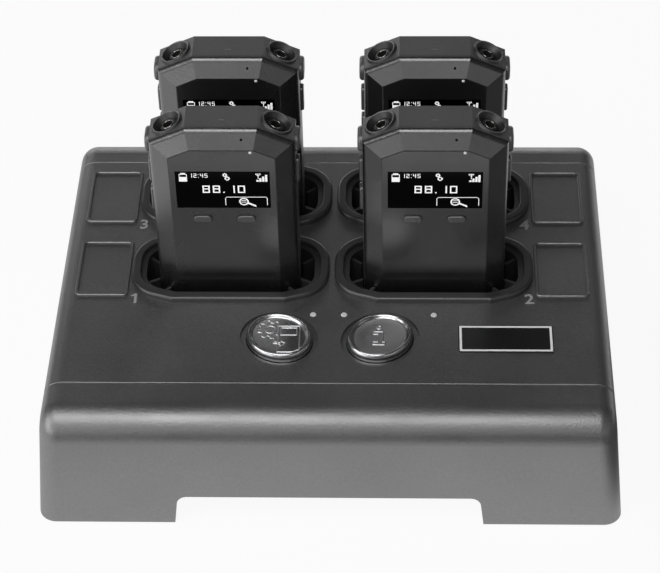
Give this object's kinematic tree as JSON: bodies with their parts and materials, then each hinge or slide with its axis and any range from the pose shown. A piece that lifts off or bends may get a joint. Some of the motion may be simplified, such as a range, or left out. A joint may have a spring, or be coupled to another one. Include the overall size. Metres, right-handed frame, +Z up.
{
  "type": "receiver docking station",
  "caption": "Desktop charging dock with raised-rim cradles, lift-out handheld receivers with screens and keys, and domed oval push buttons on its front deck.",
  "frame": {"origin": "on the floor under the middle of the docking station", "axes": "+X to the user's right, +Y away from the user, +Z up"},
  "size_m": [0.22, 0.1692, 0.1271],
  "materials": {
    "casing_plastic": "fine spark texture, satin",
    "cradle_plastic": "satin moulded",
    "base_plastic": "plain moulded",
    "foot_rubber": "matt",
    "fastener_steel": "plated",
    "contact_gold": "gold plated",
    "board_laminate": "solder mask",
    "lamp_plastic": "frosted light pipe",
    "badge_plastic": "printed, gloss",
    "button_plating": "dark chrome plating",
    "receiver_plastic": "fine spark texture, matt",
    "display_glass": "black display glass",
    "key_plastic": "semi gloss",
    "socket_plastic": "gloss bezel"
  },
  "bodies": {
    "dock": {"front_end_cap": "casing_plastic", "rear_end_cap": "casing_plastic", "center_cover": "casing_plastic", "base_plate": "base_plastic", "cradle_1": "cradle_plastic", "cradle_2": "cradle_plastic", "cradle_3": "cradle_plastic", "cradle_4": "cradle_plastic", "contact_blocks": "base_plastic", "contact_pins": "contact_gold", "light_pipes": "lamp_plastic", "badge_plate": "badge_plastic", "main_board": "board_laminate", "button_switches": "base_plastic", "power_socket": "fastener_steel", "rubber_feet": "foot_rubber", "case_screws": "fastener_steel", "board_screws": "fastener_steel"},
    "config_button": {"config_button": "button_plating"},
    "info_button": {"info_button": "button_plating"},
    "receiver_1": {"receiver_1_front_shell": "receiver_plastic", "receiver_1_rear_shell": "receiver_plastic", "receiver_1_display": "display_glass", "receiver_1_jack_sockets": "socket_plastic", "receiver_1_board_and_battery": "board_laminate"},
    "receiver_1_left_soft_key": {"receiver_1_left_soft_key": "key_plastic"},
    "receiver_1_right_soft_key": {"receiver_1_right_soft_key": "key_plastic"},
    "receiver_1_volume_up": {"receiver_1_volume_up": "key_plastic"},
    "receiver_1_volume_down": {"receiver_1_volume_down": "key_plastic"},
    "receiver_1_power_button": {"receiver_1_power_button": "key_plastic"},
    "receiver_2": {"receiver_2_front_shell": "receiver_plastic", "receiver_2_rear_shell": "receiver_plastic", "receiver_2_display": "display_glass", "receiver_2_jack_sockets": "socket_plastic", "receiver_2_board_and_battery": "board_laminate"},
    "receiver_2_left_soft_key": {"receiver_2_left_soft_key": "key_plastic"},
    "receiver_2_right_soft_key": {"receiver_2_right_soft_key": "key_plastic"},
    "receiver_2_volume_up": {"receiver_2_volume_up": "key_plastic"},
    "receiver_2_volume_down": {"receiver_2_volume_down": "key_plastic"},
    "receiver_2_power_button": {"receiver_2_power_button": "key_plastic"},
    "receiver_3": {"receiver_3_front_shell": "receiver_plastic", "receiver_3_rear_shell": "receiver_plastic", "receiver_3_display": "display_glass", "receiver_3_jack_sockets": "socket_plastic", "receiver_3_board_and_battery": "board_laminate"},
    "receiver_3_left_soft_key": {"receiver_3_left_soft_key": "key_plastic"},
    "receiver_3_right_soft_key": {"receiver_3_right_soft_key": "key_plastic"},
    "receiver_3_volume_up": {"receiver_3_volume_up": "key_plastic"},
    "receiver_3_volume_down": {"receiver_3_volume_down": "key_plastic"},
    "receiver_3_power_button": {"receiver_3_power_button": "key_plastic"},
    "receiver_4": {"receiver_4_front_shell": "receiver_plastic", "receiver_4_rear_shell": "receiver_plastic", "receiver_4_display": "display_glass", "receiver_4_jack_sockets": "socket_plastic", "receiver_4_board_and_battery": "board_laminate"},
    "receiver_4_left_soft_key": {"receiver_4_left_soft_key": "key_plastic"},
    "receiver_4_right_soft_key": {"receiver_4_right_soft_key": "key_plastic"},
    "receiver_4_volume_up": {"receiver_4_volume_up": "key_plastic"},
    "receiver_4_volume_down": {"receiver_4_volume_down": "key_plastic"},
    "receiver_4_power_button": {"receiver_4_power_button": "key_plastic"}
  },
  "joints": [
    {"name": "config_button_press", "type": "slide", "parent": "dock", "child": "config_button", "axis": [0, 0, -1], "range_m": [0, 0.0015], "stiffness_N_per_m": 700, "springref_m": -0.001},
    {"name": "info_button_press", "type": "slide", "parent": "dock", "child": "info_button", "axis": [0, 0, -1], "range_m": [0, 0.0015], "stiffness_N_per_m": 700, "springref_m": -0.001},
    {"name": "receiver_1_lift", "type": "slide", "parent": "dock", "child": "receiver_1", "axis": [0, 0, 1], "range_m": [0, 0.05]},
    {"name": "receiver_1_left_soft_key_press", "type": "slide", "parent": "receiver_1", "child": "receiver_1_left_soft_key", "axis": [0, 1, 0], "range_m": [0, 0.0006], "stiffness_N_per_m": 900, "springref_m": -0.0005},
    {"name": "receiver_1_right_soft_key_press", "type": "slide", "parent": "receiver_1", "child": "receiver_1_right_soft_key", "axis": [0, 1, 0], "range_m": [0, 0.0006], "stiffness_N_per_m": 900, "springref_m": -0.0005},
    {"name": "receiver_1_volume_up_press", "type": "slide", "parent": "receiver_1", "child": "receiver_1_volume_up", "axis": [1, 0, 0], "range_m": [0, 0.0008], "stiffness_N_per_m": 900, "springref_m": -0.0005},
    {"name": "receiver_1_volume_down_press", "type": "slide", "parent": "receiver_1", "child": "receiver_1_volume_down", "axis": [1, 0, 0], "range_m": [0, 0.0008], "stiffness_N_per_m": 900, "springref_m": -0.0005},
    {"name": "receiver_1_power_button_press", "type": "slide", "parent": "receiver_1", "child": "receiver_1_power_button", "axis": [-1, 0, 0], "range_m": [0, 0.0008], "stiffness_N_per_m": 900, "springref_m": -0.0005},
    {"name": "receiver_2_lift", "type": "slide", "parent": "dock", "child": "receiver_2", "axis": [0, 0, 1], "range_m": [0, 0.05]},
    {"name": "receiver_2_left_soft_key_press", "type": "slide", "parent": "receiver_2", "child": "receiver_2_left_soft_key", "axis": [0, 1, 0], "range_m": [0, 0.0006], "stiffness_N_per_m": 900, "springref_m": -0.0005},
    {"name": "receiver_2_right_soft_key_press", "type": "slide", "parent": "receiver_2", "child": "receiver_2_right_soft_key", "axis": [0, 1, 0], "range_m": [0, 0.0006], "stiffness_N_per_m": 900, "springref_m": -0.0005},
    {"name": "receiver_2_volume_up_press", "type": "slide", "parent": "receiver_2", "child": "receiver_2_volume_up", "axis": [1, 0, 0], "range_m": [0, 0.0008], "stiffness_N_per_m": 900, "springref_m": -0.0005},
    {"name": "receiver_2_volume_down_press", "type": "slide", "parent": "receiver_2", "child": "receiver_2_volume_down", "axis": [1, 0, 0], "range_m": [0, 0.0008], "stiffness_N_per_m": 900, "springref_m": -0.0005},
    {"name": "receiver_2_power_button_press", "type": "slide", "parent": "receiver_2", "child": "receiver_2_power_button", "axis": [-1, 0, 0], "range_m": [0, 0.0008], "stiffness_N_per_m": 900, "springref_m": -0.0005},
    {"name": "receiver_3_lift", "type": "slide", "parent": "dock", "child": "receiver_3", "axis": [0, 0, 1], "range_m": [0, 0.05]},
    {"name": "receiver_3_left_soft_key_press", "type": "slide", "parent": "receiver_3", "child": "receiver_3_left_soft_key", "axis": [0, 1, 0], "range_m": [0, 0.0006], "stiffness_N_per_m": 900, "springref_m": -0.0005},
    {"name": "receiver_3_right_soft_key_press", "type": "slide", "parent": "receiver_3", "child": "receiver_3_right_soft_key", "axis": [0, 1, 0], "range_m": [0, 0.0006], "stiffness_N_per_m": 900, "springref_m": -0.0005},
    {"name": "receiver_3_volume_up_press", "type": "slide", "parent": "receiver_3", "child": "receiver_3_volume_up", "axis": [1, 0, 0], "range_m": [0, 0.0008], "stiffness_N_per_m": 900, "springref_m": -0.0005},
    {"name": "receiver_3_volume_down_press", "type": "slide", "parent": "receiver_3", "child": "receiver_3_volume_down", "axis": [1, 0, 0], "range_m": [0, 0.0008], "stiffness_N_per_m": 900, "springref_m": -0.0005},
    {"name": "receiver_3_power_button_press", "type": "slide", "parent": "receiver_3", "child": "receiver_3_power_button", "axis": [-1, 0, 0], "range_m": [0, 0.0008], "stiffness_N_per_m": 900, "springref_m": -0.0005},
    {"name": "receiver_4_lift", "type": "slide", "parent": "dock", "child": "receiver_4", "axis": [0, 0, 1], "range_m": [0, 0.05]},
    {"name": "receiver_4_left_soft_key_press", "type": "slide", "parent": "receiver_4", "child": "receiver_4_left_soft_key", "axis": [0, 1, 0], "range_m": [0, 0.0006], "stiffness_N_per_m": 900, "springref_m": -0.0005},
    {"name": "receiver_4_right_soft_key_press", "type": "slide", "parent": "receiver_4", "child": "receiver_4_right_soft_key", "axis": [0, 1, 0], "range_m": [0, 0.0006], "stiffness_N_per_m": 900, "springref_m": -0.0005},
    {"name": "receiver_4_volume_up_press", "type": "slide", "parent": "receiver_4", "child": "receiver_4_volume_up", "axis": [1, 0, 0], "range_m": [0, 0.0008], "stiffness_N_per_m": 900, "springref_m": -0.0005},
    {"name": "receiver_4_volume_down_press", "type": "slide", "parent": "receiver_4", "child": "receiver_4_volume_down", "axis": [1, 0, 0], "range_m": [0, 0.0008], "stiffness_N_per_m": 900, "springref_m": -0.0005},
    {"name": "receiver_4_power_button_press", "type": "slide", "parent": "receiver_4", "child": "receiver_4_power_button", "axis": [-1, 0, 0], "range_m": [0, 0.0008], "stiffness_N_per_m": 900, "springref_m": -0.0005}
  ]
}
